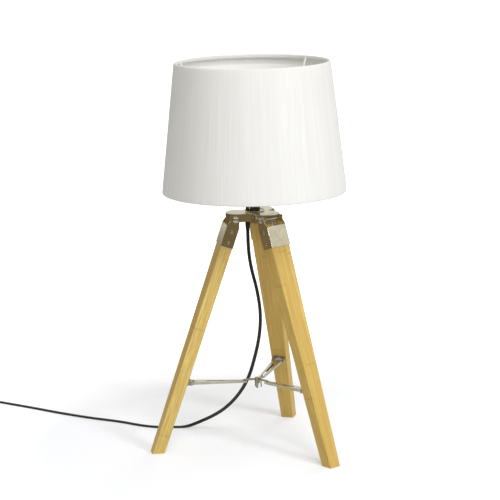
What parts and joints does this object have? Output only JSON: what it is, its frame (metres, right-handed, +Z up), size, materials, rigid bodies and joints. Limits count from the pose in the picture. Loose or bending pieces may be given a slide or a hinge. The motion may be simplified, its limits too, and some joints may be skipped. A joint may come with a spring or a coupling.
{
  "type": "tripod table lamp",
  "caption": "Table lamp with a tapered drum shade on three splayed wooden legs that fold against a hooked spreader hub, with a bulb holder, cord, inline switch and plug",
  "frame": {"origin": "middle of the lamp's footprint on the table", "axes": "+Z up; the camera of the picture looks along +Y"},
  "size_m": [0.7868, 0.5051, 0.65],
  "materials": {
    "wood": "satin",
    "chrome": "polished",
    "bright_steel": "satin",
    "stay_metal": "satin",
    "black_plastic": "matte",
    "white_ceramic": "glazed",
    "brass": "polished",
    "aluminium": "satin",
    "opal_glass": "satin",
    "shade_fabric": "matte",
    "white_wire": "gloss",
    "cord_black": "matte"
  },
  "bodies": {
    "lamp": {"head_plate": "chrome", "head_frame": "chrome", "pivot_sleeves": "bright_steel", "pivot_washers": "bright_steel", "pivot_screws": "bright_steel", "threaded_tube": "bright_steel", "tube_nuts": "bright_steel", "holder_cup": "chrome", "holder_spacer": "black_plastic", "holder_base": "black_plastic", "holder_insert": "white_ceramic", "holder_sleeve": "black_plastic", "screw_shell": "brass", "centre_contact": "brass", "inner_lead": "cord_black", "bulb_cap": "aluminium", "bulb_glass": "opal_glass", "shade_ring": "black_plastic", "strain_relief": "black_plastic", "cord_tube": "cord_black", "cord_lead": "cord_black", "cord_coil": "cord_black", "cord_tail": "cord_black", "coil_tie": "black_plastic", "switch_base": "black_plastic", "switch_cover": "black_plastic", "plug_body": "black_plastic", "plug_pins": "brass"},
    "shade": {"shade_cover": "shade_fabric", "shade_top_frame": "white_wire", "shade_bottom_ring": "white_wire", "shade_top_hem": "shade_fabric", "shade_bottom_hem": "shade_fabric"},
    "hub": {"stay_hub": "stay_metal", "hub_rivet": "bright_steel"},
    "rocker": {"switch_rocker": "black_plastic"},
    "right_leg": {"leg_1": "wood", "leg_1_cap": "chrome", "leg_1_cap_screws": "bright_steel", "leg_1_bracket": "stay_metal", "leg_1_bracket_screws": "bright_steel", "leg_1_stay_pin": "bright_steel"},
    "right_stay": {"stay_1": "stay_metal", "stay_1_hook_pin": "bright_steel"},
    "back_leg": {"leg_2": "wood", "leg_2_cap": "chrome", "leg_2_cap_screws": "bright_steel", "leg_2_bracket": "stay_metal", "leg_2_bracket_screws": "bright_steel", "leg_2_stay_pin": "bright_steel"},
    "back_stay": {"stay_2": "stay_metal", "stay_2_hook_pin": "bright_steel"},
    "left_leg": {"leg_3": "wood", "leg_3_cap": "chrome", "leg_3_cap_screws": "bright_steel", "leg_3_bracket": "stay_metal", "leg_3_bracket_screws": "bright_steel", "leg_3_stay_pin": "bright_steel"},
    "left_stay": {"stay_3": "stay_metal", "stay_3_hook_pin": "bright_steel"}
  },
  "joints": [
    {"name": "right_leg_fold", "type": "hinge", "parent": "lamp", "child": "right_leg", "pos_m": [0.03947, -0.03967, 0.3925], "axis": [0.7431, 0.6691, 0], "range_deg": [0, 17]},
    {"name": "right_stay_hinge", "type": "hinge", "parent": "right_leg", "child": "right_stay", "pos_m": [0.09225, -0.0983, 0.11655], "axis": [-0.7431, -0.6691, 0], "range_deg": [0, 97.98]},
    {"name": "back_leg_fold", "type": "hinge", "parent": "lamp", "child": "back_leg", "pos_m": [0.0263, 0.02227, 0.3925], "axis": [-0.9511, 0.309, 0], "range_deg": [0, 17]},
    {"name": "back_stay_hinge", "type": "hinge", "parent": "back_leg", "child": "back_stay", "pos_m": [0.05068, 0.0973, 0.11655], "axis": [0.9511, -0.309, 0], "range_deg": [0, 97.98]},
    {"name": "left_leg_fold", "type": "hinge", "parent": "lamp", "child": "left_leg", "pos_m": [-0.02076, -0.0201, 0.3925], "axis": [0.2079, -0.9781, 0], "range_deg": [0, 17]},
    {"name": "left_stay_hinge", "type": "hinge", "parent": "left_leg", "child": "left_stay", "pos_m": [-0.09793, -0.0365, 0.11655], "axis": [-0.2079, 0.9781, 0], "range_deg": [0, 97.98]},
    {"name": "hub_slide", "type": "slide", "parent": "lamp", "child": "hub", "axis": [0, 0, -1], "range_m": [0, 0.09963]},
    {"name": "shade_turn", "type": "hinge", "parent": "lamp", "child": "shade", "pos_m": [0.015, -0.0125, 0.4383], "axis": [0, 0, 1], "continuous": true},
    {"name": "switch_rock", "type": "hinge", "parent": "lamp", "child": "rocker", "pos_m": [-0.50198, 0.29656, 0.0124], "axis": [-0.5521, -0.8338, 0], "range_deg": [0, 16]}
  ],
  "couplings": [
    {"joint": "right_stay_hinge", "follows": "right_leg_fold", "ratio": 5.7605},
    {"joint": "back_leg_fold", "follows": "right_leg_fold", "ratio": 1},
    {"joint": "back_stay_hinge", "follows": "right_leg_fold", "ratio": 5.7605},
    {"joint": "left_leg_fold", "follows": "right_leg_fold", "ratio": 1},
    {"joint": "left_stay_hinge", "follows": "right_leg_fold", "ratio": 5.7605},
    {"joint": "hub_slide", "follows": "right_leg_fold", "m_per_rad": 0.33544}
  ]
}
